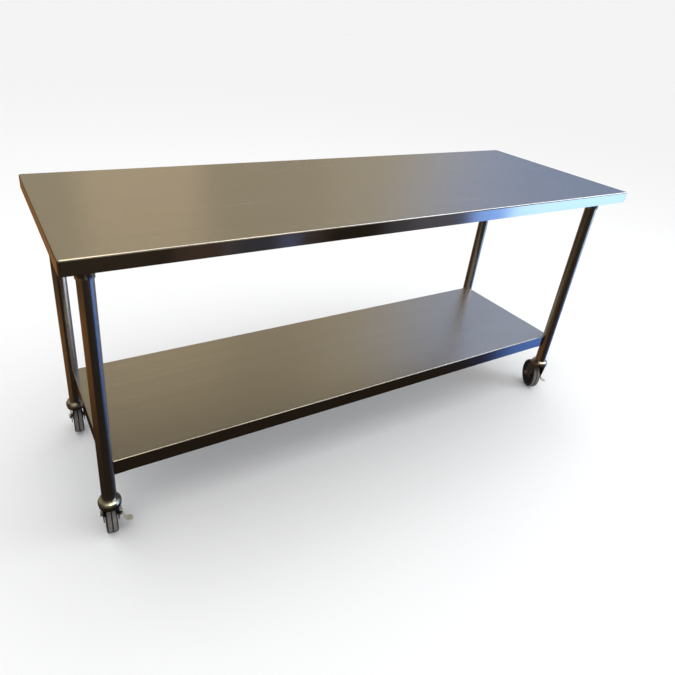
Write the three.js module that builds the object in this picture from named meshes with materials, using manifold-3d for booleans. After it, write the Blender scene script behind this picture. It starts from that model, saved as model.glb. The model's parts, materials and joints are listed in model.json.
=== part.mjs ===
// Mobile stainless work table: a sheet-metal top and undershelf on four tube legs with swivel casters.
// Millimetres, +Z up. Origin on the floor under the middle of the top, +X along the length, front at -Y.
import * as THREE from 'three';
import { mergeVertices } from 'three/addons/utils/BufferGeometryUtils.js';
import Module from 'manifold-3d';

const wasm = await Module();
wasm.setup();

// ---- driving dimensions -------------------------------------------------------------------------
const GAP = 0.3;                      // clearance between neighbouring pieces
const OVER = 1;                       // how far a cutting or joined solid passes the face it meets
const SHEET = 1.5;                    // top, shelf and channel sheet thickness

const HEIGHT = 870;                   // floor to work surface
const TOP = { length: 1829, width: 610, edge: 36, lip: 12, cornerRadius: 6, bendRadius: 4.5 };
const LEG = { x: 855.5, y: 229, radius: 19.05, wall: 1.6, bottom: 148.3, top: 843 };
const SHELF = { top: 266, edge: 44, bendRadius: 3.5, cornerRadius: 4.5 };

const CROSS_RAIL = { web: 84, height: 23, lip: 12, length: 570 };
const LONG_RAIL = { web: 60, height: 20, lip: 15, length: 1590 };
const SHELF_RAIL = { web: 60, height: 20, lip: 15, length: 1640 };

const SOCKET = { bottom: 792, sleeve: 14, wall: 2, flange: 40, flangeThickness: 2.5 };
const SET_SCREW = { radius: 3, length: 6.5, hexAcross: 3.2, hexDepth: 2, z: 799 };

const BRACKET = { bottom: 219, wall: 3.6, flange: 50, plate: 3, bossRadius: 6, bossEnd: 30, screwZ: 240 };
const BRACKET_SCREW = { radius: 3, headAcross: 10, headHeight: 4 };

const WHEEL = { radius: 57.5, width: 30, coreRadius: 47.5, hubRadius: 13, hubWidth: 34, faceWidth: 26 };
const TYRE_SHOULDER = 5;
const TRAIL = 36.5;                   // swivel axis to axle
const CAP = { radius: 30, seat: 22, top: 148, shoulder: 139.5, bottom: 131, plate: 1.6, bulge: [1.5, 1] };
const RACE = { radius: 29, throat: 24, top: 130, domeTop: 142 };
const KING_PIN = { radius: 6, headRadius: 9.5, headEdge: 1.5, head: 114, top: 207, tip: 8, tipTaper: 4 };
const FORK = {
  halfWidth: 20.5, plate: 2.5, top: 125, bend: 7, eye: 14, eyeStart: 215,
  front: -18, rear: 30, hem: 8, throat: [1, 58], frontPull: [-14, 82], rearPull: [47, 95],
};
const AXLE = { radius: 4.76, across: 14.3, head: 5.5, nut: 6, end: 29 };
const BRAKE = { x: 15, y: -25, z: 78, pinRadius: 2, hub: 8.6, cam: 4, camAngle: -72, halfHub: 8.5 };
const BRAKE_EAR = { plate: 2.2, clearance: 0.5, halfHeight: 9, radius: 5 };
const BRAKE_WINDOW = { below: 13, above: 8.5, from: -22, to: -16 };
const BRAKE_TONGUE = {
  thickness: 2.4, neck: 5, paddle: 9, start: 40, reach: 57, drop: 35.5, dip: 3,
  rootTop: [7, 3], rootBottom: [4, 6], upperPull: [8, 6], lowerPull: [5.6, 3],   // away from the pin, height
  hubEnd: 4, neckStart: 8, neckRound: 1, flare: 3, padRound: 7, behindWall: 2,
};

// One entry per corner: sides of the table, swivel heading, set-screw heading, and whether it brakes.
const CORNERS = [
  { name: 'front_left', sx: -1, sy: -1, heading: 84, screw: 266, turn: 0, brake: true },
  { name: 'front_right', sx: 1, sy: -1, heading: 60, screw: 240, turn: 90, brake: true },
  { name: 'rear_left', sx: -1, sy: 1, heading: 84, screw: 94, turn: 270, brake: false },
  { name: 'rear_right', sx: 1, sy: 1, heading: 100, screw: 60, turn: 180, brake: false },
];

const ROUND = { fine: 36, medium: 24, coarse: 16, small: 8 };   // segments around a circle

// ---- solids -------------------------------------------------------------------------------------
const degrees = THREE.MathUtils.degToRad;

function toSolid(geometry) {
  const bare = geometry.clone();
  bare.deleteAttribute('normal');
  bare.deleteAttribute('uv');
  const merged = mergeVertices(bare, 1e-4);
  const place = merged.attributes.position;
  const index = merged.index.array;
  const triangles = [];
  let volume = 0;
  const [a, b, c] = [new THREE.Vector3(), new THREE.Vector3(), new THREE.Vector3()];
  for (let i = 0; i < index.length; i += 3) {
    const [p, q, r] = [index[i], index[i + 1], index[i + 2]];
    if (p === q || q === r || r === p) continue;
    triangles.push(p, q, r);
    a.fromBufferAttribute(place, p);
    b.fromBufferAttribute(place, q);
    c.fromBufferAttribute(place, r);
    volume += a.dot(b.cross(c));
  }
  if (volume < 0) triangles.reverse();
  return new wasm.Manifold(new wasm.Mesh({
    numProp: 3,
    vertProperties: place.array,
    triVerts: new Uint32Array(triangles),
  }));
}

function toGeometry(solid) {
  const mesh = solid.getMesh();
  const geometry = new THREE.BufferGeometry();
  geometry.setAttribute('position', new THREE.BufferAttribute(mesh.vertProperties, 3));
  geometry.setIndex(new THREE.BufferAttribute(mesh.triVerts, 1));
  geometry.computeVertexNormals();
  return geometry;
}

function box(x0, x1, y0, y1, z0, z1) {
  const geometry = new THREE.BoxGeometry(x1 - x0, y1 - y0, z1 - z0);
  return toSolid(geometry.translate((x0 + x1) / 2, (y0 + y1) / 2, (z0 + z1) / 2));
}

// A shape drawn in the plane across the axis: (y, z) for 'x', (x, z) for 'y' and (x, y) for 'z'.
function extrude(shape, axis, from, to, curveSegments = 8) {
  const geometry = new THREE.ExtrudeGeometry(shape, { depth: to - from, bevelEnabled: false, curveSegments });
  const [X, Y, Z] = [new THREE.Vector3(1, 0, 0), new THREE.Vector3(0, 1, 0), new THREE.Vector3(0, 0, 1)];
  const turn = new THREE.Matrix4();
  if (axis === 'x') turn.makeBasis(Y, Z, X).setPosition(from, 0, 0);
  if (axis === 'y') turn.makeBasis(X, Z, Y.clone().negate()).setPosition(0, to, 0);
  if (axis === 'z') turn.makeTranslation(0, 0, from);
  return toSolid(geometry.applyMatrix4(turn));
}

// A profile of [radius, height] points, from the axis back to the axis, turned about the Z or the Y axis.
function turned(profile, segments, axis = 'z') {
  const geometry = new THREE.LatheGeometry(profile.map(([r, h]) => new THREE.Vector2(r, h)), segments);
  if (axis === 'z') geometry.rotateX(Math.PI / 2);
  return toSolid(geometry);
}

// The same for a profile that stays clear of the axis: its last point is joined to its first.
function ring(profile, segments, axis) {
  return turned([...profile, profile[0]], segments, axis);
}

// A round bar between two distances along a horizontal direction, at a height.
function spoke(radius, from, to, heading, z, segments = ROUND.small) {
  const bar = new THREE.CylinderGeometry(radius, radius, to - from, segments);
  bar.rotateZ(-Math.PI / 2);
  bar.translate((from + to) / 2, 0, 0);
  return toSolid(bar.rotateZ(degrees(heading)).translate(0, 0, z));
}

function hexagon(across) {
  const shape = new THREE.Shape();
  const corner = across / Math.sqrt(3);
  for (let i = 0; i < 6; i++) {
    const angle = degrees(60 * i);
    const point = [corner * Math.cos(angle), corner * Math.sin(angle)];
    if (i === 0) shape.moveTo(...point);
    else shape.lineTo(...point);
  }
  return shape;
}

function roundedRectangle(length, width, radius) {
  const [x, y] = [length / 2, width / 2];
  const shape = new THREE.Shape();
  shape.moveTo(-x + radius, -y);
  shape.lineTo(x - radius, -y);
  shape.absarc(x - radius, -y + radius, radius, -Math.PI / 2, 0);
  shape.lineTo(x, y - radius);
  shape.absarc(x - radius, y - radius, radius, 0, Math.PI / 2);
  shape.lineTo(-x + radius, y);
  shape.absarc(-x + radius, y - radius, radius, Math.PI / 2, Math.PI);
  shape.lineTo(-x, -y + radius);
  shape.absarc(-x + radius, -y + radius, radius, Math.PI, Math.PI * 1.5);
  return shape;
}

// A block whose upper edges are rounded and whose lower face is flat.
function roundedBlock(length, width, bottom, top, cornerRadius, bendRadius) {
  const geometry = new THREE.ExtrudeGeometry(roundedRectangle(length, width, cornerRadius), {
    depth: top - bottom - bendRadius,
    bevelThickness: bendRadius,
    bevelSize: bendRadius,
    bevelOffset: -bendRadius,
    bevelSegments: 4,
    curveSegments: 3,
  });
  const whole = toSolid(geometry.translate(0, 0, bottom));
  return whole.subtract(box(-length, length, -width, width, bottom - 2 * bendRadius, bottom));
}

// A folded sheet tray, open below: a flat sheet, turned-down edges and an optional inward lip.
function tray({ length, width, bottom, top, cornerRadius, bendRadius, lip = 0 }) {
  const inner = [length - 2 * SHEET, width - 2 * SHEET];
  const floor = lip > 0 ? bottom + SHEET : bottom - OVER;
  const hollow = roundedBlock(...inner, floor, top - SHEET, cornerRadius - SHEET, bendRadius - SHEET);
  const pan = roundedBlock(length, width, bottom, top, cornerRadius, bendRadius).subtract(hollow);
  if (lip === 0) return pan;
  return pan.subtract(box(
    -inner[0] / 2 + lip, inner[0] / 2 - lip, -inner[1] / 2 + lip, inner[1] / 2 - lip,
    bottom - OVER, floor + OVER,
  ));
}

// A hat channel hung under a sheet: its lips lie along the sheet and its web is below.
function hatShape({ web, height, lip }) {
  const half = web / 2;
  const shape = new THREE.Shape();
  shape.moveTo(-half - lip, height);
  shape.lineTo(-half - lip, height - SHEET);
  shape.lineTo(-half, height - SHEET);
  shape.lineTo(-half, 0);
  shape.lineTo(half, 0);
  shape.lineTo(half, height - SHEET);
  shape.lineTo(half + lip, height - SHEET);
  shape.lineTo(half + lip, height);
  shape.lineTo(half - SHEET, height);
  shape.lineTo(half - SHEET, SHEET);
  shape.lineTo(-half + SHEET, SHEET);
  shape.lineTo(-half + SHEET, height);
  shape.closePath();
  return shape;
}

// ---- table pieces -------------------------------------------------------------------------------
function tableTop() {
  return tray({ ...TOP, bottom: HEIGHT - TOP.edge, top: HEIGHT });
}

function shelf() {
  let pan = tray({
    ...SHELF,
    length: 2 * LEG.x,
    width: 2 * LEG.y,
    bottom: SHELF.top - SHELF.edge,
    top: SHELF.top,
  });
  for (const { sx, sy } of CORNERS) {
    const notch = new THREE.CylinderGeometry(LEG.radius + 2 * GAP, LEG.radius + 2 * GAP, 100, ROUND.medium);
    notch.rotateX(Math.PI / 2);
    notch.translate(sx * LEG.x, sy * LEG.y, SHELF.top - SHELF.edge / 2);
    pan = pan.subtract(toSolid(notch));
  }
  return pan;
}

function rail(size, axis) {
  return extrude(hatShape(size), axis, -size.length / 2, size.length / 2);
}

function leg() {
  const bore = LEG.radius - LEG.wall;
  const profile = [[bore, LEG.bottom], [LEG.radius, LEG.bottom], [LEG.radius, LEG.top], [bore, LEG.top]];
  return ring(profile, ROUND.medium);
}

// A sleeve on the leg, opening as a cone to a flange under the cross rail.
function legSocket() {
  const bore = LEG.radius + GAP;
  const under = HEIGHT - SHEET - GAP - CROSS_RAIL.height - GAP;
  const neck = SOCKET.bottom + SOCKET.sleeve;
  const profile = [
    [bore, SOCKET.bottom],
    [bore + SOCKET.wall, SOCKET.bottom],
    [bore + SOCKET.wall, neck],
    [SOCKET.flange - SOCKET.wall, under - SOCKET.flangeThickness],
    [SOCKET.flange, under - SOCKET.flangeThickness],
    [SOCKET.flange, under],
    [SOCKET.flange - 2 * SOCKET.wall, under],
    [bore, neck + SOCKET.wall],
  ];
  const hole = spoke(SET_SCREW.radius + GAP, LEG.radius - 2 * OVER, SOCKET.flange, 0, SET_SCREW.z);
  return ring(profile, ROUND.medium).subtract(hole);
}

function setScrew() {
  const from = LEG.radius + GAP;
  const end = from + SET_SCREW.length;
  const key = extrude(hexagon(SET_SCREW.hexAcross), 'x', end - SET_SCREW.hexDepth, end + OVER);
  return spoke(SET_SCREW.radius, from, end, 0, SET_SCREW.z)
    .subtract(key.translate([0, 0, SET_SCREW.z]));
}

// The saddle that joins a shelf corner to its leg, drawn for a leg at the origin, shelf towards +X +Y.
function shelfBracket() {
  const inner = LEG.radius + GAP;
  const outer = inner + BRACKET.wall;
  const near = SHEET + GAP;
  const far = near + BRACKET.plate;
  const start = Math.asin(near / inner);
  const shape = new THREE.Shape();
  shape.moveTo(BRACKET.flange, near);
  shape.lineTo(BRACKET.flange, far);
  shape.absarc(0, 0, outer, Math.asin(far / outer), Math.acos(far / outer), false);
  shape.lineTo(far, BRACKET.flange);
  shape.lineTo(near, BRACKET.flange);
  shape.absarc(0, 0, inner, Math.PI / 2 - start, start, true);
  shape.closePath();
  const saddle = extrude(shape, 'z', BRACKET.bottom, SHELF.top - SHELF.bendRadius - GAP, 5);
  const boss = spoke(BRACKET.bossRadius, inner + OVER, BRACKET.bossEnd, 45, BRACKET.screwZ);
  const bore = BRACKET_SCREW.radius + GAP;
  const hole = spoke(bore, inner - 2 * OVER, BRACKET.bossEnd + OVER, 45, BRACKET.screwZ);
  return saddle.add(boss).subtract(hole);
}

function bracketScrew() {
  const { radius, headAcross, headHeight } = BRACKET_SCREW;
  const seat = BRACKET.bossEnd + GAP;
  const head = extrude(hexagon(headAcross), 'x', seat, seat + headHeight);
  return spoke(radius, LEG.radius + GAP, seat + OVER, 0, 0).add(head)
    .rotate([0, 0, 45]).translate([0, 0, BRACKET.screwZ]);
}

// ---- caster pieces, drawn for a swivel axis at the origin and an axle trailing towards +X ---------
function casterStem() {
  const plug = LEG.radius - LEG.wall - 2 * GAP;
  const seat = CAP.top + GAP;
  const underCrown = FORK.top - FORK.plate - GAP;
  return turned([
    [0, KING_PIN.head],
    [KING_PIN.headRadius - KING_PIN.headEdge, KING_PIN.head],
    [KING_PIN.headRadius, KING_PIN.head + KING_PIN.headEdge],
    [KING_PIN.headRadius, underCrown],
    [KING_PIN.radius, underCrown],
    [KING_PIN.radius, seat],
    [plug, seat],
    [plug, KING_PIN.top - KING_PIN.tip],
    [plug - KING_PIN.tipTaper, KING_PIN.top],
    [0, KING_PIN.top],
  ], ROUND.coarse);
}

// The domed upper half of the swivel bearing: a pressed plate with a rounded shoulder and a skirt.
function swivelCap() {
  const { radius, seat, top, shoulder, bottom, plate, bulge } = CAP;
  const bore = KING_PIN.radius + GAP;
  const middle = [(seat + radius) / 2 + bulge[0], (top + shoulder) / 2 + bulge[1]];
  return ring([
    [bore, top],
    [seat, top],
    middle,
    [radius, shoulder],
    [radius, bottom],
    [radius - plate, bottom],
    [radius - plate, shoulder],
    [middle[0] - plate, middle[1] - plate],
    [seat, top - plate - GAP],
    [bore, top - plate - GAP],
  ], ROUND.medium);
}

// The lower half of the bearing, which is one piece with the fork's crown.
function forkRace() {
  const bore = KING_PIN.radius + GAP;
  const bottom = FORK.top - FORK.plate;
  return ring([
    [bore, bottom],
    [RACE.throat, bottom],
    [RACE.radius, FORK.top],
    [RACE.radius, RACE.top],
    [CAP.radius - 2 * CAP.plate, RACE.top],
    [CAP.seat, RACE.domeTop],
    [bore, RACE.domeTop],
  ], ROUND.medium);
}

// The fork seen along the axle: a crown that narrows to a round eye at the axle.
function forkSilhouette() {
  const { front, rear, top, hem, eye, eyeStart, plate, throat, frontPull, rearPull } = FORK;
  const shape = new THREE.Shape();
  shape.moveTo(front, top);
  shape.lineTo(front, top - hem);
  shape.quadraticCurveTo(...frontPull, ...throat);
  shape.absarc(TRAIL, WHEEL.radius, eye, degrees(eyeStart), degrees(360), false);
  shape.quadraticCurveTo(...rearPull, rear, top - plate);
  shape.lineTo(rear, top);
  shape.closePath();
  return shape;
}

// The folded plate seen from the front: a flat crown with rounded bends and two parallel legs.
function forkSection() {
  const { halfWidth, plate, top, bend, eye } = FORK;
  const low = WHEEL.radius - eye - OVER;
  const [inside, small] = [halfWidth - plate, bend - plate];
  const shape = new THREE.Shape();
  shape.moveTo(-halfWidth, low);
  shape.lineTo(-inside, low);
  shape.lineTo(-inside, top - bend);
  shape.absarc(-inside + small, top - bend, small, Math.PI, Math.PI / 2, true);
  shape.lineTo(inside - small, top - plate);
  shape.absarc(inside - small, top - bend, small, Math.PI / 2, 0, true);
  shape.lineTo(inside, low);
  shape.lineTo(halfWidth, low);
  shape.lineTo(halfWidth, top - bend);
  shape.absarc(halfWidth - bend, top - bend, bend, 0, Math.PI / 2, false);
  shape.lineTo(-halfWidth + bend, top);
  shape.absarc(-halfWidth + bend, top - bend, bend, Math.PI / 2, Math.PI, false);
  shape.closePath();
  return shape;
}

// Two ears on the side of the fork that hold the brake's pin.
function brakeEars() {
  const { plate, clearance, halfHeight, radius } = BRAKE_EAR;
  const root = -FORK.halfWidth + plate / 2;
  const shape = new THREE.Shape();
  shape.moveTo(root, BRAKE.z - halfHeight);
  shape.lineTo(root, BRAKE.z + halfHeight);
  shape.lineTo(BRAKE.y, BRAKE.z + radius);
  shape.absarc(BRAKE.y, BRAKE.z, radius, degrees(90), degrees(270), false);
  shape.closePath();
  const near = BRAKE.halfHub + clearance;
  const left = extrude(shape, 'x', BRAKE.x - near - plate, BRAKE.x - near, 5);
  const right = extrude(shape, 'x', BRAKE.x + near, BRAKE.x + near + plate, 5);
  return left.add(right);
}

function brakePin(radius, overhang) {
  const half = BRAKE.halfHub + BRAKE_EAR.clearance + BRAKE_EAR.plate + overhang;
  const bar = spoke(radius, BRAKE.x - half, BRAKE.x + half, 0, 0);
  return bar.translate([0, BRAKE.y, BRAKE.z]);
}

function crossBar(radius, from, to) {
  const bar = new THREE.CylinderGeometry(radius, radius, to - from, ROUND.coarse);
  return toSolid(bar.translate(TRAIL, (from + to) / 2, WHEEL.radius));
}

function fork(braked) {
  const across = FORK.halfWidth + OVER;
  const plate = extrude(forkSection(), 'x', FORK.front, TRAIL + FORK.eye + OVER, 4);
  const pinHole = new THREE.CylinderGeometry(
    KING_PIN.radius + GAP, KING_PIN.radius + GAP, 2 * CAP.radius, ROUND.medium,
  );
  pinHole.rotateX(Math.PI / 2).translate(0, 0, FORK.top);
  const solid = plate.intersect(extrude(forkSilhouette(), 'y', -across, across, 5))
    .add(forkRace())
    .subtract(toSolid(pinHole))
    .subtract(crossBar(AXLE.radius + GAP, -across, across));
  if (!braked) return solid;
  const near = BRAKE.halfHub + BRAKE_EAR.clearance;
  const { below, above, from, to } = BRAKE_WINDOW;
  const window = box(BRAKE.x - near, BRAKE.x + near, from, to, BRAKE.z - below, BRAKE.z + above);
  return solid.subtract(window).add(brakeEars()).subtract(brakePin(BRAKE.pinRadius + GAP, OVER));
}

function wheelCore() {
  const half = WHEEL.hubWidth / 2;
  const face = WHEEL.faceWidth / 2;
  const bore = AXLE.radius + GAP;
  return ring([
    [bore, -half], [WHEEL.hubRadius, -half], [WHEEL.hubRadius, -face], [WHEEL.coreRadius, -face],
    [WHEEL.coreRadius, face], [WHEEL.hubRadius, face], [WHEEL.hubRadius, half], [bore, half],
  ], ROUND.medium, 'y').translate([TRAIL, 0, WHEEL.radius]);
}

function tyre() {
  const half = WHEEL.width / 2;
  const inner = WHEEL.coreRadius + 2 * GAP;
  const shoulder = [90, 45, 0].map((angle) => [
    WHEEL.radius - TYRE_SHOULDER + TYRE_SHOULDER * Math.cos(degrees(angle)),
    half - TYRE_SHOULDER + TYRE_SHOULDER * Math.sin(degrees(angle)),
  ]);
  const lower = shoulder.map(([r, h]) => [r, -h]);
  return ring([[inner, -half], ...lower, ...shoulder.reverse(), [inner, half]], ROUND.fine, 'y')
    .translate([TRAIL, 0, WHEEL.radius]);
}

function axleBolt() {
  const seat = FORK.halfWidth + GAP;
  const head = extrude(hexagon(AXLE.across), 'y', seat, seat + AXLE.head);
  return crossBar(AXLE.radius, -AXLE.end, seat + OVER).add(head.translate([TRAIL, 0, WHEEL.radius]));
}

function axleNut() {
  const seat = FORK.halfWidth + GAP;
  const blank = extrude(hexagon(AXLE.across), 'y', -seat - AXLE.nut, -seat);
  return blank.translate([TRAIL, 0, WHEEL.radius]).subtract(crossBar(AXLE.radius + GAP, -2 * seat, 0));
}

// The lever seen along its pin: a strip that runs down from the hub and flattens out into the foot pad.
function tongueSide() {
  const { y, z } = BRAKE;
  const { thickness, start, reach, drop, dip, rootTop, rootBottom, upperPull, lowerPull } = BRAKE_TONGUE;
  const foot = z - drop;
  const shape = new THREE.Shape();
  shape.moveTo(y, z - rootTop[1]);
  shape.lineTo(y - rootTop[0], z - rootTop[1]);
  shape.quadraticCurveTo(y - upperPull[0], foot + upperPull[1], -start, foot);
  shape.lineTo(-reach, foot - dip);
  shape.lineTo(-reach, foot - dip - thickness);
  shape.lineTo(-start, foot - thickness);
  shape.quadraticCurveTo(y - lowerPull[0], foot + lowerPull[1], y - rootBottom[0], z - rootBottom[1]);
  shape.closePath();
  return shape;
}

// The lever seen from above: the width of the hub, a narrow neck and a rounded foot pad.
function tonguePlan() {
  const { x, y, halfHub } = BRAKE;
  const { neck, paddle, start, reach, neckRound, flare, padRound, behindWall } = BRAKE_TONGUE;
  const hubEnd = y - BRAKE_TONGUE.hubEnd;
  const neckStart = y - BRAKE_TONGUE.neckStart;
  const padEnd = padRound - reach;
  const half = [
    [halfHub, hubEnd, halfHub, hubEnd],
    [neck, hubEnd - neckRound, neck, neckStart],
    [paddle, flare - start, paddle, -flare - start],
    [paddle, padEnd, paddle, padEnd],
    [paddle, -reach, 0, -reach],
  ];
  const outline = (side) => {
    const shape = new THREE.Shape();
    shape.moveTo(x + side * halfHub, BRAKE_WINDOW.to + behindWall);
    for (const [cx, cy, px, py] of half) shape.quadraticCurveTo(x + side * cx, cy, x + side * px, py);
    return shape.getPoints(4);
  };
  return new THREE.Shape([...outline(-1), ...outline(1).reverse().slice(1)]);
}

// A cam hub on the pin, with the pressed foot tongue.
function brakeLever() {
  const { x, y, z, hub, cam, camAngle, halfHub } = BRAKE;
  const hubShape = new THREE.Shape();
  const lobe = [y + cam * Math.cos(degrees(camAngle)), z + cam * Math.sin(degrees(camAngle))];
  hubShape.absarc(...lobe, hub, 0, 2 * Math.PI);
  const [from, to] = [x - halfHub - OVER, x + halfHub + OVER];
  return extrude(hubShape, 'x', from, to, ROUND.small)
    .add(extrude(tongueSide(), 'x', from, to, 6))
    .intersect(extrude(tonguePlan(), 'z', 0, z + 2 * hub, 4))
    .subtract(brakePin(BRAKE.pinRadius + GAP, 2 * OVER));
}

// ---- assembly -----------------------------------------------------------------------------------
const FINISH = {
  stainless: { color: 0x9c978c, roughness: 0.32, metalness: 1 },
  tube: { color: 0x8f8a82, roughness: 0.22, metalness: 1 },
  galvanised: { color: 0x9a9c9c, roughness: 0.5, metalness: 1 },
  chrome: { color: 0xc8c8c8, roughness: 0.12, metalness: 1 },
  zinc: { color: 0xb4b6b8, roughness: 0.3, metalness: 1 },
  nylon: { color: 0x17181a, roughness: 0.45, metalness: 0 },
  rubber: { color: 0x5c5a57, roughness: 0.7, metalness: 0 },
};

const table = new THREE.Group();

function addMesh(parent, name, solid, finish) {
  const mesh = new THREE.Mesh(toGeometry(solid), new THREE.MeshStandardMaterial(FINISH[finish]));
  mesh.name = name;
  parent.add(mesh);
  return mesh;
}

function addGroup(x, y, heading) {
  const group = new THREE.Group();
  group.position.set(x, y, 0);
  group.rotation.z = degrees(heading);
  table.add(group);
  return group;
}

addMesh(table, 'table_top', tableTop(), 'stainless');
addMesh(table, 'undershelf', shelf(), 'stainless');

const underTop = HEIGHT - SHEET - GAP;
const underShelf = SHELF.top - SHEET - GAP;
for (const [name, side] of [['cross_rail_left', -1], ['cross_rail_right', 1]]) {
  const mesh = addMesh(table, name, rail(CROSS_RAIL, 'y'), 'galvanised');
  mesh.position.set(side * LEG.x, 0, underTop - CROSS_RAIL.height);
}
addMesh(table, 'long_rail', rail(LONG_RAIL, 'x'), 'galvanised').position.z = underTop - LONG_RAIL.height;
addMesh(table, 'shelf_rail', rail(SHELF_RAIL, 'x'), 'galvanised').position.z = underShelf - SHELF_RAIL.height;

for (const { name, sx, sy, heading, screw, turn, brake } of CORNERS) {
  const [x, y] = [sx * LEG.x, sy * LEG.y];
  const upper = addGroup(x, y, screw);
  addMesh(upper, `leg_socket_${name}`, legSocket(), 'zinc');
  addMesh(upper, `set_screw_${name}`, setScrew(), 'zinc');
  addMesh(upper, `leg_${name}`, leg(), 'tube');

  const lower = addGroup(x, y, turn);
  addMesh(lower, `shelf_bracket_${name}`, shelfBracket(), 'zinc');
  addMesh(lower, `bracket_screw_${name}`, bracketScrew(), 'zinc');

  const caster = addGroup(x, y, heading);
  addMesh(caster, `caster_stem_${name}`, casterStem(), 'zinc');
  addMesh(caster, `swivel_cap_${name}`, swivelCap(), 'chrome');
  addMesh(caster, `fork_${name}`, fork(brake), 'chrome');
  addMesh(caster, `wheel_core_${name}`, wheelCore(), 'nylon');
  addMesh(caster, `tyre_${name}`, tyre(), 'rubber');
  addMesh(caster, `axle_bolt_${name}`, axleBolt(), 'zinc');
  addMesh(caster, `axle_nut_${name}`, axleNut(), 'zinc');
  if (brake) {
    addMesh(caster, `brake_lever_${name}`, brakeLever(), 'chrome');
    addMesh(caster, `brake_pin_${name}`, brakePin(BRAKE.pinRadius, 1), 'zinc');
  }
}

export default table;
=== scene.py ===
"""Looks of the stainless work table: finer meshes, procedural metals, rubber and nylon, a pale studio.

Everything is in metres in the row frame: origin on the floor, +X along the length, front at -Y.
"""

import json
import math

import bmesh
import bpy
from mathutils import Euler, Matrix, Vector


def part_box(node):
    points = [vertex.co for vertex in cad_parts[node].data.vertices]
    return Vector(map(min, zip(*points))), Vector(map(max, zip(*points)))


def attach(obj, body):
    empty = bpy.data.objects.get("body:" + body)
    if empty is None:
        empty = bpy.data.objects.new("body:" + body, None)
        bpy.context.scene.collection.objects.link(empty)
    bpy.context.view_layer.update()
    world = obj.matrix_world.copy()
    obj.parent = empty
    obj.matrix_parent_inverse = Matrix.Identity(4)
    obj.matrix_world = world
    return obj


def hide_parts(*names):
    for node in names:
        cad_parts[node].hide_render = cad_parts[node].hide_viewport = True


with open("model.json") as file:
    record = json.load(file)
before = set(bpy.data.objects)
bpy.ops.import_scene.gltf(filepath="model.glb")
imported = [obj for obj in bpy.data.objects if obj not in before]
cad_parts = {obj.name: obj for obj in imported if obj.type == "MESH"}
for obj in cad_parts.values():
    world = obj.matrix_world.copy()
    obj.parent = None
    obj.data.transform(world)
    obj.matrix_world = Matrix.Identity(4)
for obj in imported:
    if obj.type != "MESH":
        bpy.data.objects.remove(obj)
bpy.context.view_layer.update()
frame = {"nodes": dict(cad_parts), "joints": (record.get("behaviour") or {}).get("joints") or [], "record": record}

MM = 0.001
CORNERS = ("front_left", "front_right", "rear_left", "rear_right")
BRAKED = ("front_left", "front_right")
JOINTS = {joint["name"]: joint for joint in frame["joints"]}
BODIES = frame["record"]["behaviour"]["bodies"]
NODE_BODY = {node: body for body, members in BODIES.items() for node in members}

# ---- dimensions ---------------------------------------------------------------------------------
BEVEL = {
    "screw": 0.25 * MM, "pin": 0.3 * MM, "bolt": 0.4 * MM, "socket": 0.4 * MM, "rail": 0.5 * MM,
    "plate": 0.6 * MM,
}
LEG = {"wall": 1.6 * MM, "rolled_edge": 0.4 * MM}
CAP = {
    "bore": 6.3 * MM, "seat": 22.0 * MM, "dome": 27.5 * MM, "rim": 30.0 * MM,       # radii
    "dome_drop": 3.25 * MM, "rim_drop": 8.5 * MM, "under_seat": 1.92 * MM,          # below the cap's top
    "plate": 1.6 * MM,
}
CORE_ROUNDING = 0.8 * MM
# One side of the wheel core, in mm: radius, and distance from the wheel's middle.
CORE_OUTLINE = (
    (5.06, 17.0), (9.5, 17.0), (12.5, 15.8),     # hub
    (13.0, 12.2), (17.0, 12.2),                  # sunk ring round the hub
    (19.0, 13.0), (38.5, 13.0),                  # web
    (40.0, 11.6), (42.5, 11.6),                  # groove
    (44.0, 13.0), (47.5, 13.0),                  # rim
)
TYRE = {
    "half_width": 15.0 * MM, "foot": 48.1 * MM, "foot_inset": 1.5 * MM, "wall_start": 49.5 * MM,
    "shoulder": 5.5 * MM, "crown": 0.9 * MM, "groove_half": 2.0 * MM, "groove_depth": 1.6 * MM,
    "worn_edge": 0.2 * MM,                       # how far the worn tread runs onto the shoulders
    "steps": 10,                                 # points along each shoulder and each half of the crown
}
FLOOR_SIZE = 60

SHARP_ANGLE = math.radians(32)                   # edges that turn more than this stay crisp
FLAT_ANGLE = math.radians(0.5)                   # faces that differ by less than this become one
TURNED_SEGMENTS = 96
ARC_SHARE = 0.45                                 # the most that a rounded corner takes of a side

# ---- camera and studio --------------------------------------------------------------------------
CAMERA_PLACE = (-1.028, -1.381, 1.337)
CAMERA_TURN = (61.674, -5.096, -30.255)          # Euler XYZ in degrees
CAMERA_LENS = 30.15                              # mm
SENSOR_WIDTH = 36                                # mm
CAMERA_SHIFT = (0.0384, -0.0404)

FLOOR_COLOUR = (0.90, 0.90, 0.90)                # also the backdrop's
STUDIO_LIGHT = (1, 1, 1)                         # the even light on matt surfaces
DOORWAY_LIGHT = (0.75, 0.87, 1.0)

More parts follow.
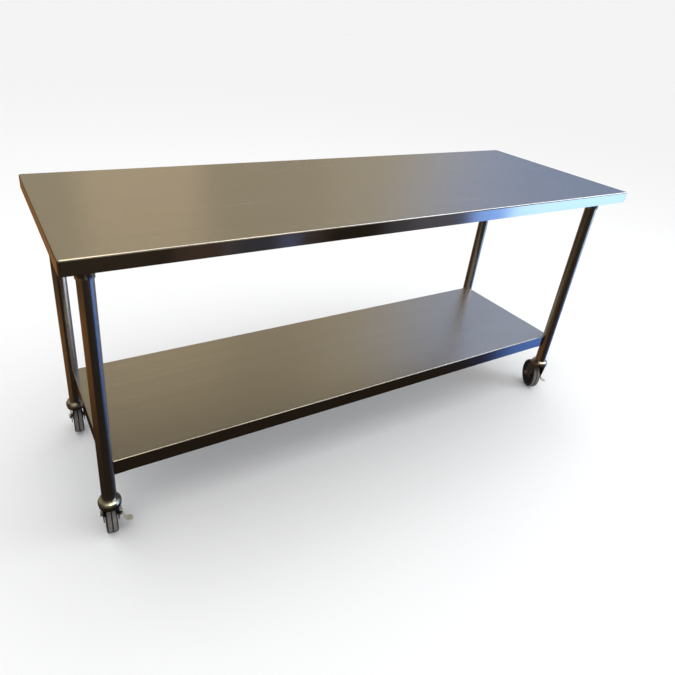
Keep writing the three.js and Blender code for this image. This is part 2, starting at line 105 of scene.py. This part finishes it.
# The room that the metal mirrors, as soft patches of light. Azimuth runs from +X towards +Y, elevation
# from the horizon upwards, both in degrees; "fade" is how far a patch takes to die away: sideways,
# below and above.
ROOM_DARK = (0.020, 0.014, 0.009)
ROOM = (
    {"what": "tan back wall", "azimuth": (52, 140), "elevation": (4, 28), "fade": (16, 6, 40),
     "colour": (0.36, 0.305, 0.20)},
    {"what": "bright panel of that wall", "azimuth": (70.5, 80), "elevation": (4, 22), "fade": (2.5, 6, 12),
     "colour": (0.20, 0.145, 0.09)},
    {"what": "pale corner", "azimuth": (46, 53), "elevation": (6, 40), "fade": (6, 6, 14),
     "colour": (0.07, 0.062, 0.045)},
    {"what": "blue-grey end wall", "azimuth": (-20, 40), "elevation": (2, 44), "fade": (12, 8, 16),
     "colour": (0.215, 0.29, 0.46)},
    {"what": "bright pane of the end wall", "azimuth": (30, 36), "elevation": (22, 34), "fade": (5, 6, 8),
     "colour": (0.24, 0.21, 0.17)},
    {"what": "doorway", "azimuth": (-37.7, -20), "elevation": (-18, -2), "fade": (1.2, 4, 8),
     "colour": (0.62, 0.85, 0.70)},
    {"what": "doorway with its blue edge", "azimuth": (-41, -20), "elevation": (-18, -2),
     "fade": (1.5, 4, 8), "colour": (0.33, 0.64, 1.45)},
    {"what": "wall right of the doorway", "azimuth": (-20, 8), "elevation": (-22, 4), "fade": (6, 5, 6),
     "colour": (0.10, 0.20, 0.42)},
    {"what": "light from the doorway on the floor", "azimuth": (-34, 8), "elevation": (-30, -22),
     "fade": (3, 13, 4), "colour": (0.09, 0.21, 0.62)},
    {"what": "grey floor behind the right end", "azimuth": (12, 78), "elevation": (-42, -24),
     "fade": (10, 8, 4), "colour": (0.11, 0.11, 0.12)},
    {"what": "wood floor lit from the left", "azimuth": (112, 212), "elevation": (-29, -28.5),
     "fade": (14, 13, 1.6), "colour": (0.21, 0.085, 0.018)},
    {"what": "warm floor at the left wall", "azimuth": (93, 106), "elevation": (-24, -10),
     "fade": (4, 3, 6), "colour": (0.22, 0.10, 0.03)},
    {"what": "floor behind the table", "azimuth": (30, 74), "elevation": (-22, -8), "fade": (8, 4, 6),
     "colour": (0.12, 0.10, 0.075)},
    {"what": "dim floor to the left", "azimuth": (112, 215), "elevation": (-26, -12), "fade": (6, 5, 6),
     "colour": (0.035, 0.018, 0.006)},
    {"what": "left wall", "azimuth": (150, 225), "elevation": (4, 40), "fade": (24, 8, 14),
     "colour": (0.10, 0.08, 0.05)},
    {"what": "front wall", "azimuth": (-150, -50), "elevation": (10, 36), "fade": (24, 8, 14),
     "colour": (0.24, 0.21, 0.17)},
    {"what": "lit top of the back wall", "azimuth": (52, 140), "elevation": (53, 64), "fade": (10, 5, 8),
     "colour": (0.30, 0.265, 0.18)},
    {"what": "dim wall in front", "azimuth": (-100, -75), "elevation": (-25, -14), "fade": (2.5, 3, 4),
     "colour": (0.016, 0.012, 0.007)},
    {"what": "brown cupboard in front", "azimuth": (-71.5, -67), "elevation": (-26, -14), "fade": (2, 4, 4),
     "colour": (0.042, 0.026, 0.020)},
    {"what": "grey door in front", "azimuth": (-66.5, -61.5), "elevation": (-26, -14), "fade": (1, 4, 4),
     "colour": (0.024, 0.030, 0.042)},
    {"what": "blue door edge", "azimuth": (-60.8, -59.4), "elevation": (-26, -14), "fade": (0.8, 4, 4),
     "colour": (0.07, 0.085, 0.16)},
    {"what": "brown door beside it", "azimuth": (-58.5, -57), "elevation": (-26, -14), "fade": (1, 4, 4),
     "colour": (0.033, 0.024, 0.022)},
    {"what": "wall beside the doorway", "azimuth": (-49.5, -42), "elevation": (-24, 10),
     "fade": (1.5, 4, 4), "colour": (0.045, 0.046, 0.060)},
    {"what": "paler wall at the door frame", "azimuth": (-46.5, -42), "elevation": (-24, 10),
     "fade": (1.5, 4, 4), "colour": (0.045, 0.045, 0.055)},
    {"what": "ceiling", "azimuth": (-180, 180), "elevation": (66, 90), "fade": (1, 14, 1),
     "colour": (0.80, 0.70, 0.54)},
    {"what": "lamp light on the ceiling in front", "azimuth": (-110, -67), "elevation": (58, 82),
     "fade": (3, 8, 6), "colour": (3.4, 3.0, 2.1)},
    {"what": "daylight on the ceiling by the doorway", "azimuth": (-48, -20), "elevation": (52, 82),
     "fade": (3, 8, 6), "colour": (3.2, 3.1, 2.7)},
    {"what": "lit wall above the doorway", "azimuth": (-36, -8), "elevation": (36, 48),
     "fade": (3, 5, 4), "colour": (2.8, 2.9, 3.0)},
    {"what": "daylight on that wall", "azimuth": (-27, -6), "elevation": (18, 32), "fade": (3, 4, 4),
     "colour": (2.8, 2.9, 3.0)},
)


def new_object(name, data):
    """An object in the scene, for a mesh, a camera or a lamp."""
    obj = bpy.data.objects.new(name, data)
    bpy.context.scene.collection.objects.link(obj)
    return obj


def make_camera():
    """The camera that stands where the photograph was taken."""
    camera = new_object("camera", bpy.data.cameras.new("camera"))
    camera.location = CAMERA_PLACE
    camera.rotation_euler = Euler([math.radians(angle) for angle in CAMERA_TURN], "XYZ")
    camera.data.lens = CAMERA_LENS
    camera.data.sensor_width = SENSOR_WIDTH
    camera.data.shift_x, camera.data.shift_y = CAMERA_SHIFT
    camera.data.clip_start = 0.05
    camera.data.clip_end = 100
    bpy.context.scene.camera = camera


class Sums:
    """Short calls for chains of maths nodes in one node tree."""

    def __init__(self, tree):
        self.tree = tree

    def put(self, socket, value):
        if isinstance(value, bpy.types.NodeSocket):
            self.tree.links.new(value, socket)
        else:
            socket.default_value = value

    def maths(self, operation, *values):
        node = self.tree.nodes.new("ShaderNodeMath")
        node.operation = operation
        for socket, value in zip(node.inputs, values):
            self.put(socket, value)
        return node.outputs[0]

    def vector(self, operation, first, second):
        """A sum of two vectors, or a vector scaled by a number."""
        node = self.tree.nodes.new("ShaderNodeVectorMath")
        node.operation = operation
        self.put(node.inputs[0], first)
        self.put(node.inputs["Scale"] if operation == "SCALE" else node.inputs[1], second)
        return node.outputs[0]

    def under(self, value, limit, fade):
        """1 while the value is under the limit, fading to 0 over the distance beyond it."""
        node = self.tree.nodes.new("ShaderNodeMapRange")
        node.interpolation_type = "SMOOTHSTEP"
        ends = {"From Min": limit, "From Max": limit + fade, "To Min": 1, "To Max": 0}
        for name, number in ends.items():
            node.inputs[name].default_value = number
        self.put(node.inputs["Value"], value)
        return node.outputs["Result"]

    def background(self, colour):
        """A world shader that shines with one colour or with a socket's colour."""
        node = self.tree.nodes.new("ShaderNodeBackground")
        self.put(node.inputs["Color"], colour)
        return node.outputs[0]


def make_room():
    """The world: mirrors see the room, matt surfaces even white light, the camera a pale backdrop."""
    world = bpy.data.worlds.new("room")
    bpy.context.scene.world = world
    world.use_nodes = True
    tree = world.node_tree
    tree.nodes.clear()
    sums = Sums(tree)
    split = tree.nodes.new("ShaderNodeSeparateXYZ")
    tree.links.new(tree.nodes.new("ShaderNodeTexCoord").outputs["Generated"], split.inputs[0])
    azimuth = sums.maths("DEGREES", sums.maths("ARCTAN2", split.outputs["Y"], split.outputs["X"]))
    elevation = sums.maths("DEGREES", sums.maths("ARCSINE", split.outputs["Z"]))
    depth = sums.maths("MULTIPLY", elevation, -1)
    light = ROOM_DARK
    for patch in ROOM:
        (left, right), (low, high) = patch["azimuth"], patch["elevation"]
        sideways, below, above = patch["fade"]
        turn = sums.maths("WRAP", sums.maths("SUBTRACT", azimuth, (left + right) / 2), 180, -180)
        across = sums.under(sums.maths("ABSOLUTE", turn), (right - left) / 2, sideways)
        upright = sums.maths("MULTIPLY", sums.under(elevation, high, above), sums.under(depth, -low, below))
        share = sums.vector("SCALE", patch["colour"], sums.maths("MULTIPLY", across, upright))
        light = sums.vector("ADD", light, share)
        light.node.label = patch["what"]
    rays = tree.nodes.new("ShaderNodeLightPath")
    result = sums.background((*STUDIO_LIGHT, 1))
    for ray, colour in (("Is Glossy Ray", light), ("Is Camera Ray", (*FLOOR_COLOUR, 1))):
        mix = tree.nodes.new("ShaderNodeMixShader")
        tree.links.new(rays.outputs[ray], mix.inputs[0])
        tree.links.new(result, mix.inputs[1])
        tree.links.new(sums.background(colour), mix.inputs[2])
        result = mix.outputs[0]
    tree.links.new(result, tree.nodes.new("ShaderNodeOutputWorld").inputs["Surface"])


def make_floor():
    """A plain pale floor that shows in no mirror."""
    floor = add_object("floor", *plane(FLOOR_SIZE))
    floor.data.materials.append(Shader("floor", FLOOR_COLOUR, 1.0, Specular_IOR_Level=0.0).material)
    floor.visible_glossy = False


def soft_light(name, place, aim, size, power, colour=(1, 1, 1)):
    """A rectangular lamp that lights the matt surfaces and the floor, but shows in no mirror."""
    light = new_object(name, bpy.data.lights.new(name, "AREA"))
    light.data.shape = "RECTANGLE"
    light.data.size, light.data.size_y = size
    light.data.energy = power
    light.data.color = colour
    light.location = place
    light.rotation_euler = (Vector(aim) - Vector(place)).to_track_quat("-Z", "Y").to_euler()
    light.visible_glossy = False
    light.visible_camera = False


# ---- mesh helpers -------------------------------------------------------------------------------
def add_object(name, points, faces):
    mesh = bpy.data.meshes.new(name)
    mesh.from_pydata([tuple(point) for point in points], [], faces)
    mesh.update()
    return new_object(name, mesh)


def plane(size):
    """The corners and the one face of a level square."""
    half = size / 2
    return [(-half, -half, 0), (half, -half, 0), (half, half, 0), (-half, half, 0)], [(0, 1, 2, 3)]


def smooth(obj):
    """Smooth shading, with the sharp edges left crisp."""
    obj.data.shade_smooth()
    obj.data.set_sharp_from_angle(angle=SHARP_ANGLE)


def even_shading(obj):
    """Keeps the shading of large faces flat right up to the small curved faces beside them."""
    obj.modifiers.new("weighted", "WEIGHTED_NORMAL").keep_sharp = True


def outward(obj):
    """Turns every face of a closed mesh outwards."""
    mesh = bmesh.new()
    mesh.from_mesh(obj.data)
    bmesh.ops.recalc_face_normals(mesh, faces=mesh.faces)
    mesh.to_mesh(obj.data)
    mesh.free()


def rounded(profile, radius, steps=4):
    """The closed 2-D outline with each corner replaced by an arc, smaller where its sides are short."""
    points = []
    count = len(profile)
    for i, corner in enumerate(profile):
        here = Vector(corner)
        before = Vector(profile[i - 1]) - here
        after = Vector(profile[(i + 1) % count]) - here
        turn = before.angle(after)
        reach = min(radius / math.tan(turn / 2), before.length * ARC_SHARE, after.length * ARC_SHARE)
        start, end = here + before.normalized() * reach, here + after.normalized() * reach
        for step in range(steps + 1):
            t = step / steps
            points.append(start * (1 - t) ** 2 + here * 2 * t * (1 - t) + end * t ** 2)
    return points


def turned(name, profile, matrix):
    """A closed outline of (radius, height) points turned about the local Z axis, then placed."""
    count = len(profile)
    points, faces = [], []
    for i in range(TURNED_SEGMENTS):
        angle = 2 * math.pi * i / TURNED_SEGMENTS
        for radius, height in profile:
            points.append(matrix @ Vector((radius * math.cos(angle), radius * math.sin(angle), height)))
    for i in range(TURNED_SEGMENTS):
        for j in range(count):
            a, b = i * count, ((i + 1) % TURNED_SEGMENTS) * count
            k = (j + 1) % count
            faces.append((a + j, b + j, b + k, a + k))
    obj = add_object(name, points, faces)
    outward(obj)
    smooth(obj)
    even_shading(obj)
    return obj


def refined(node, bevel):
    """A clean copy of a CAD node: flat areas become single faces and sharp edges get a small bevel."""
    mesh = bmesh.new()
    mesh.from_mesh(frame["nodes"][node].data)
    bmesh.ops.remove_doubles(mesh, verts=mesh.verts, dist=1e-5)
    bmesh.ops.dissolve_limit(mesh, angle_limit=FLAT_ANGLE, verts=mesh.verts, edges=mesh.edges)
    data = bpy.data.meshes.new(node + ".fine")
    mesh.to_mesh(data)
    mesh.free()
    obj = new_object(node + ".fine", data)
    smooth(obj)
    if bevel > 0:
        edges = obj.modifiers.new("bevel", "BEVEL")
        edges.width = bevel
        edges.segments = 3
        edges.limit_method = "ANGLE"
        edges.angle_limit = SHARP_ANGLE
        edges.harden_normals = True
    even_shading(obj)
    return obj


def stands_for(obj, node, material):
    """Gives a piece its material and puts it in place of a CAD node, on the node's own body."""
    obj.data.materials.clear()
    obj.data.materials.append(material)
    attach(obj, NODE_BODY[node])
    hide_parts(node)


# ---- materials ----------------------------------------------------------------------------------
STEEL_TINT = (0.62, 0.60, 0.57)
ACROSS_GRAIN = (0.0, 1.0, 1.0)                   # the way that brushed sheets spread a reflection
LINES_ACROSS, LINES_ALONG = 900.0, 7.0           # brush lines per metre, across and along the grain
BANDS_ACROSS, BANDS_ALONG = 75.0, 7.0 / 6        # the wider bands that the brush leaves
BAND_CONTRAST = (0.975, 1.02)


class Shader:
    """One material with a Principled shader, and short calls for the textures that feed it."""

    def __init__(self, name, colour, roughness, metallic=0.0, **sockets):
        self.material = bpy.data.materials.new(name)
        self.material.use_nodes = True
        self.tree = self.material.node_tree
        self.surface = self.tree.nodes["Principled BSDF"]
        self.surface.inputs["Base Color"].default_value = (*colour, 1)
        self.surface.inputs["Roughness"].default_value = roughness
        self.surface.inputs["Metallic"].default_value = metallic
        for socket, value in sockets.items():
            self.surface.inputs[socket.replace("_", " ")].default_value = value
        self.place = self.tree.nodes.new("ShaderNodeTexCoord").outputs["Object"]

    def link(self, source, target):
        self.tree.links.new(source, target)

    def constant(self, vector):
        """A fixed vector for a socket that takes only links."""
        node = self.tree.nodes.new("ShaderNodeCombineXYZ")
        for socket, value in zip(node.inputs, vector):
            socket.default_value = value
        return node.outputs["Vector"]

    def stretched(self, stretch, offset):
        """The object's own coordinates, stretched and moved."""
        mapping = self.tree.nodes.new("ShaderNodeMapping")
        mapping.inputs["Scale"].default_value = stretch
        mapping.inputs["Location"].default_value = offset
        self.link(self.place, mapping.inputs["Vector"])
        return mapping.outputs["Vector"]

    def noise(self, stretch, detail=3.0, rough=0.55, distortion=0.0, offset=(0, 0, 0)):
        """Noise from 0 to 1; stretch is how many features there are per metre along each axis."""
        node = self.tree.nodes.new("ShaderNodeTexNoise")
        node.inputs["Scale"].default_value = 1.0
        node.inputs["Detail"].default_value = detail
        node.inputs["Roughness"].default_value = rough
        node.inputs["Distortion"].default_value = distortion
        self.link(self.stretched(stretch, offset), node.inputs["Vector"])
        return node.outputs["Fac"]

    def facing_up(self):
        """1 on level faces, 0 on upright ones."""
        split = self.tree.nodes.new("ShaderNodeSeparateXYZ")
        self.link(self.tree.nodes.new("ShaderNodeNewGeometry").outputs["Normal"], split.inputs[0])
        return self.mixed(split.outputs["Z"], 0.0, "MAXIMUM")

    def cells(self, scale):
        """A different colour for each cell of a random pattern."""
        node = self.tree.nodes.new("ShaderNodeTexVoronoi")
        node.inputs["Scale"].default_value = scale
        self.link(self.place, node.inputs["Vector"])
        return node.outputs["Color"]

    def ranged(self, value, low, high, from_low=0.3, from_high=0.7):
        """The value moved from its own range to the one from low to high, and held inside that."""
        node = self.tree.nodes.new("ShaderNodeMapRange")
        node.inputs["From Min"].default_value = from_low
        node.inputs["From Max"].default_value = from_high
        node.inputs["To Min"].default_value = low
        node.inputs["To Max"].default_value = high
        self.link(value, node.inputs["Value"])
        return node.outputs["Result"]

    def mixed(self, first, second, kind="ADD"):
        """Two numbers or sockets joined by one maths node."""
        return Sums(self.tree).maths(kind, first, second)

    def blend(self, factor, first, second):
        """A colour from first to second as the factor goes from 0 to 1."""
        node = self.tree.nodes.new("ShaderNodeMix")
        node.data_type = "RGBA"
        self.link(factor, node.inputs["Factor"])
        for socket, colour in (("A", first), ("B", second)):
            target = [s for s in node.inputs if s.name == socket and s.type == "RGBA"][0]
            if isinstance(colour, tuple):
                target.default_value = (*colour, 1)
            else:
                self.link(colour, target)
        return [s for s in node.outputs if s.type == "RGBA"][0]

    def bump(self, height, distance, strength=1.0):
        node = self.tree.nodes.new("ShaderNodeBump")
        node.inputs["Distance"].default_value = distance
        node.inputs["Strength"].default_value = strength
        self.link(height, node.inputs["Height"])
        return node.outputs["Normal"]

    def finish(self, colour, roughness, normal):
        """Links the textures to the surface and gives the finished material."""
        for socket, value in (("Base Color", colour), ("Roughness", roughness), ("Normal", normal)):
            self.link(value, self.surface.inputs[socket])
        return self.material


def brushed_steel(name, tint, roughness, edge_roughness, grain, seed, waves=0.05 * MM, anisotropy=0.0):
    """Stainless with a straight grain. grain is 'x', 'y' or 'z', the way the brush lines run.

    Level faces have the first roughness; the upright sides and edges have the second. waves is the
    depth of the slow dents in the sheet.
    """
    lines = [LINES_ACROSS] * 3
    lines["xyz".index(grain)] = LINES_ALONG
    bands = [BANDS_ACROSS] * 3
    bands["xyz".index(grain)] = BANDS_ALONG
    shader = Shader(name, tint, roughness, metallic=1.0, Anisotropic=anisotropy)
    fine = shader.noise(lines, detail=4.0, rough=0.7, offset=(seed, seed, seed))
    band = shader.noise(bands, detail=3.0, offset=(seed, 2 * seed, seed))
    wiped = shader.noise((5.0, 7.0, 6.0), detail=2.0, rough=0.5, offset=(seed, 0, 3 * seed))
    smudge = shader.noise((19.0, 23.0, 21.0), detail=2.0, rough=0.5, offset=(0, seed, 0))
    dark, light = (tuple(part * contrast for part in tint) for contrast in BAND_CONTRAST)
    colour = shader.blend(shader.ranged(band, 0, 1), dark, light)
    brushing = shader.mixed(shader.ranged(fine, -0.012, 0.012), shader.ranged(band, -0.006, 0.006))
    marks = shader.mixed(
        shader.ranged(wiped, -0.014, 0.014, 0.2, 0.8),
        shader.ranged(smudge, 0, 0.010, 0.2, 0.8),
    )
    base = shader.ranged(shader.facing_up(), edge_roughness, roughness, 0.3, 0.9)
    rough = shader.mixed(shader.mixed(brushing, marks), base)
    dent = shader.noise((2.3, 3.1, 2.7), detail=1.0, rough=0.4, offset=(2 * seed, seed, 0))
    normal = shader.bump(dent, waves)
    if anisotropy > 0:
        shader.link(shader.constant(ACROSS_GRAIN), shader.surface.inputs["Tangent"])
    return shader.finish(colour=colour, roughness=rough, normal=normal)


def plated_metal(name, tint, roughness, grime, metallic=1.0):
    """Plating with hairline scratches, faint dulling and patches of grime."""
    shader = Shader(name, tint, roughness, metallic=metallic)
    scratch = shader.noise((900.0, 140.0, 420.0), detail=5.0, rough=0.75, distortion=0.6)
    cloud = shader.noise((60.0, 60.0, 60.0), detail=4.0, rough=0.6)
    dirt = shader.noise((210.0, 210.0, 210.0), detail=6.0, rough=0.7)
    amount = shader.ranged(shader.mixed(dirt, cloud, "MULTIPLY"), 0, grime, 0.20, 0.42)
    colour = shader.blend(amount, tint, (0.10, 0.09, 0.08))
    wear = shader.mixed(shader.ranged(cloud, -0.03, 0.08), shader.ranged(scratch, -0.02, 0.05))
    rough = shader.mixed(shader.mixed(wear, amount), roughness)
    return shader.finish(colour=colour, roughness=rough, normal=shader.bump(scratch, 0.03 * MM, 0.5))


def galvanised(name):
    """Hot-dip zinc: flat grey crystals of slightly different brightness."""
    shader = Shader(name, (0.50, 0.51, 0.52), 0.5, metallic=1.0)
    crystal = shader.cells(95.0)
    stain = shader.noise((14.0, 14.0, 14.0), detail=4.0)
    colour = shader.blend(shader.ranged(crystal, 0, 1, 0.0, 1.0), (0.40, 0.41, 0.42), (0.58, 0.59, 0.60))
    rough = shader.mixed(shader.ranged(crystal, 0.36, 0.52, 0.0, 1.0), shader.ranged(stain, -0.04, 0.08))
    return shader.finish(colour=colour, roughness=rough, normal=shader.bump(crystal, 0.05 * MM, 0.4))


def moulded_nylon(name):
    """Black plastic with a fine moulded grain and thin grey dust."""
    shader = Shader(name, (0.014, 0.014, 0.015), 0.4, Specular_IOR_Level=0.25)
    grain = shader.noise((1600.0, 1600.0, 1600.0), detail=2.0)
    dust = shader.noise((120.0, 120.0, 120.0), detail=6.0, rough=0.7)
    amount = shader.ranged(dust, 0, 0.2, 0.5, 0.75)
    colour = shader.blend(amount, (0.010, 0.011, 0.013), (0.085, 0.085, 0.085))
    rough = shader.mixed(shader.ranged(grain, 0.34, 0.44), amount)
    return shader.finish(colour=colour, roughness=rough, normal=shader.bump(grain, 0.04 * MM, 0.5))


def scuffed_rubber(name, dark, light, dusty):
    """Rubber, polished by rolling, with paler scuffs and dust in patches."""
    shader = Shader(name, dark, 0.35, Specular_IOR_Level=0.3)
    scuff = shader.noise((320.0, 320.0, 320.0), detail=6.0, rough=0.7)
    patch = shader.noise((45.0, 45.0, 45.0), detail=3.0)
    colour = shader.blend(shader.ranged(scuff, 0, 1, 0.35, 0.75), dark, light)
    colour = shader.blend(shader.ranged(patch, 0, 0.5, 0.5, 0.75), colour, dusty)
    rough = shader.mixed(shader.ranged(scuff, 0.22, 0.40), shader.ranged(patch, -0.03, 0.12))
    return shader.finish(colour=colour, roughness=rough, normal=shader.bump(scuff, 0.08 * MM, 0.4))


# ---- table pieces -------------------------------------------------------------------------------
def refine(node, material, bevel=0.0):
    """Puts a refined copy in place of a CAD node."""
    stands_for(refined(node, bevel), node, material)


def make_sheets(steel_top, steel_shelf):
    """The top and the shelf, whose CAD bends are rounded already."""
    refine("table_top", steel_top)
    refine("undershelf", steel_shelf)


def make_legs(steel):
    """Round tubes with a small rolled edge at each end, from each CAD leg's box."""
    for corner in CORNERS:
        low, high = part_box("leg_" + corner)
        x, y, _ = JOINTS["swivel_" + corner]["pos_m"]
        outer = (high.y - low.y) / 2
        bore = outer - LEG["wall"]
        profile = rounded(
            [(bore, low.z), (outer, low.z), (outer, high.z), (bore, high.z)], LEG["rolled_edge"], steps=2,
        )
        leg = turned("leg_" + corner + ".tube", profile, Matrix.Translation((x, y, 0)))
        stands_for(leg, "leg_" + corner, steel)


def make_hardware(zinc, rail, socket):
    """The rails under the sheets, and at each leg its socket, bracket, screws and caster stem."""
    for name in ("cross_rail_left", "cross_rail_right", "long_rail", "shelf_rail"):
        refine(name, rail, BEVEL["rail"])
    for corner in CORNERS:
        refine("leg_socket_" + corner, socket, BEVEL["socket"])
        refine("shelf_bracket_" + corner, rail, BEVEL["rail"])
        for kind in ("set_screw_", "bracket_screw_", "caster_stem_"):
            refine(kind + corner, zinc, BEVEL["screw"])


# ---- casters ------------------------------------------------------------------------------------
class Caster:
    """The places of one caster's turned pieces, as matrices: on the leg's axis and on the axle."""

    def __init__(self, corner):
        swivel = Vector(JOINTS["swivel_" + corner]["pos_m"])
        roll = Vector(JOINTS["roll_" + corner]["pos_m"])
        axle = Vector(JOINTS["roll_" + corner]["axis"]).normalized()
        up = Vector((0, 0, 1))
        trail = axle.cross(up)
        self.corner = corner
        self.radius = roll.z
        self.leg_axis = Matrix.Translation((swivel.x, swivel.y, 0))
        heading = Matrix((trail, axle, up)).transposed().to_4x4()
        to_axle = Matrix.Translation(((roll - swivel).xy.length, 0, self.radius))
        self.wheel = self.leg_axis @ heading @ to_axle @ Matrix.Rotation(-math.pi / 2, 4, "X")


def make_cap(caster, chrome):
    """The domed upper race, with a rolled rim, that the leg stands on."""
    name = "swivel_cap_" + caster.corner
    low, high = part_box(name)
    bore, seat, dome, rim, plate = (CAP[part] for part in ("bore", "seat", "dome", "rim", "plate"))
    dome_height, rim_height = high.z - CAP["dome_drop"], high.z - CAP["rim_drop"]
    under = high.z - CAP["under_seat"]
    profile = [
        (bore, high.z), (seat, high.z), (dome, dome_height), (rim, rim_height), (rim, low.z),
        (rim - plate, low.z), (rim - plate, rim_height), (dome - plate, dome_height - plate),
        (seat, under), (bore, under),
    ]
    stands_for(turned(name + ".race", rounded(profile, plate), caster.leg_axis), name, chrome)


def make_core(caster, nylon):
    """The moulded wheel core, the same on both sides: hub, sunk ring, web, groove and rim."""
    name = "wheel_core_" + caster.corner
    one_side = [(r * MM, h * MM) for r, h in CORE_OUTLINE]
    other_side = [(r, -h) for r, h in reversed(one_side)]
    outline = rounded(one_side + other_side, CORE_ROUNDING, steps=3)
    stands_for(turned(name + ".moulding", outline, caster.wheel), name, nylon)


def make_tyre(caster, sidewall, tread):
    """The crowned tyre with a groove round its middle: dark sidewalls and a paler worn tread."""
    name = "tyre_" + caster.corner
    half, shoulder, crown, steps = (TYRE[part] for part in ("half_width", "shoulder", "crown", "steps"))
    groove_half = TYRE["groove_half"]
    edge = caster.radius - crown
    flat = half - shoulder
    upper = [(TYRE["foot"], half - TYRE["foot_inset"]), (TYRE["wall_start"], half)]
    for i in range(steps + 1):
        angle = math.pi / 2 * (1 - i / steps)
        upper.append((edge - shoulder * (1 - math.cos(angle)), flat + shoulder * math.sin(angle)))
    for i in range(1, steps + 1):
        across = flat - (flat - groove_half) * i / steps
        upper.append((caster.radius - crown * (across / flat) ** 2, across))
    upper.append((caster.radius - TYRE["groove_depth"], groove_half / 2))
    lower = [(r, -h) for r, h in reversed(upper)]
    tyre = turned(name + ".tread", upper + lower, caster.wheel)
    stands_for(tyre, name, sidewall)
    tyre.data.materials.append(tread)
    to_wheel = caster.wheel.inverted()
    for face in tyre.data.polygons:
        centre = to_wheel @ face.center
        if centre.xy.length > edge - TYRE["worn_edge"] and abs(centre.z) > groove_half:
            face.material_index = 1


def make_caster(corner, finishes):
    """One caster: cap, wheel, fork, axle bolt and nut, and at the front its foot brake."""
    caster = Caster(corner)
    make_cap(caster, finishes["chrome"])
    make_core(caster, finishes["nylon"])
    make_tyre(caster, finishes["sidewall"], finishes["tread"])
    refine("fork_" + corner, finishes["fork"], BEVEL["plate"])
    refine("axle_bolt_" + corner, finishes["zinc"], BEVEL["bolt"])
    refine("axle_nut_" + corner, finishes["zinc"], BEVEL["bolt"])
    if corner in BRAKED:
        refine("brake_lever_" + corner, finishes["pedal"], BEVEL["plate"])
        refine("brake_pin_" + corner, finishes["zinc"], BEVEL["pin"])


# ---- the scene ----------------------------------------------------------------------------------
bpy.context.scene.view_settings.view_transform = "Standard"
make_camera()
make_room()
make_floor()
soft_light("overhead", place=(0.0, -0.5, 4.0), aim=(0.0, 0.0, 0.4), size=(4.0, 4.0), power=40)
soft_light(
    "doorway", place=(2.6, -1.7, 0.7), aim=(0.9, -0.2, 0.1), size=(1.0, 1.2), power=24,
    colour=DOORWAY_LIGHT,
)

sheet_look = {"edge_roughness": 0.10, "grain": "x", "waves": 0.5 * MM, "anisotropy": 0.8}
make_sheets(
    brushed_steel("steel_top", STEEL_TINT, roughness=0.25, seed=0.0, **sheet_look),
    brushed_steel("steel_shelf", STEEL_TINT, roughness=0.24, seed=3.7, **sheet_look),
)
tube_steel = brushed_steel(
    "steel_tube", STEEL_TINT, roughness=0.22, edge_roughness=0.21, grain="z", seed=7.1,
)
make_legs(tube_steel)
zinc_plate = plated_metal("zinc_plate", (0.68, 0.66, 0.61), roughness=0.30, grime=0.15)
make_hardware(zinc_plate, galvanised("galvanised"), tube_steel)
caster_finishes = {
    "chrome": plated_metal("chrome_plate", (0.53, 0.51, 0.46), roughness=0.18, grime=0.2),
    "pedal": plated_metal("pedal_plate", (0.70, 0.66, 0.54), roughness=0.38, grime=0.12, metallic=0.55),
    "fork": plated_metal("fork_plate", (0.26, 0.26, 0.26), roughness=0.24, grime=0.1),
    "zinc": zinc_plate,
    "nylon": moulded_nylon("black_nylon"),
    "sidewall": scuffed_rubber(
        "dark_rubber", dark=(0.026, 0.025, 0.024), light=(0.05, 0.047, 0.044), dusty=(0.075, 0.07, 0.063),
    ),
    "tread": scuffed_rubber(
        "worn_rubber", dark=(0.12, 0.11, 0.103), light=(0.20, 0.185, 0.175), dusty=(0.25, 0.232, 0.21),
    ),
}
for corner_name in CORNERS:
    make_caster(corner_name, caster_finishes)
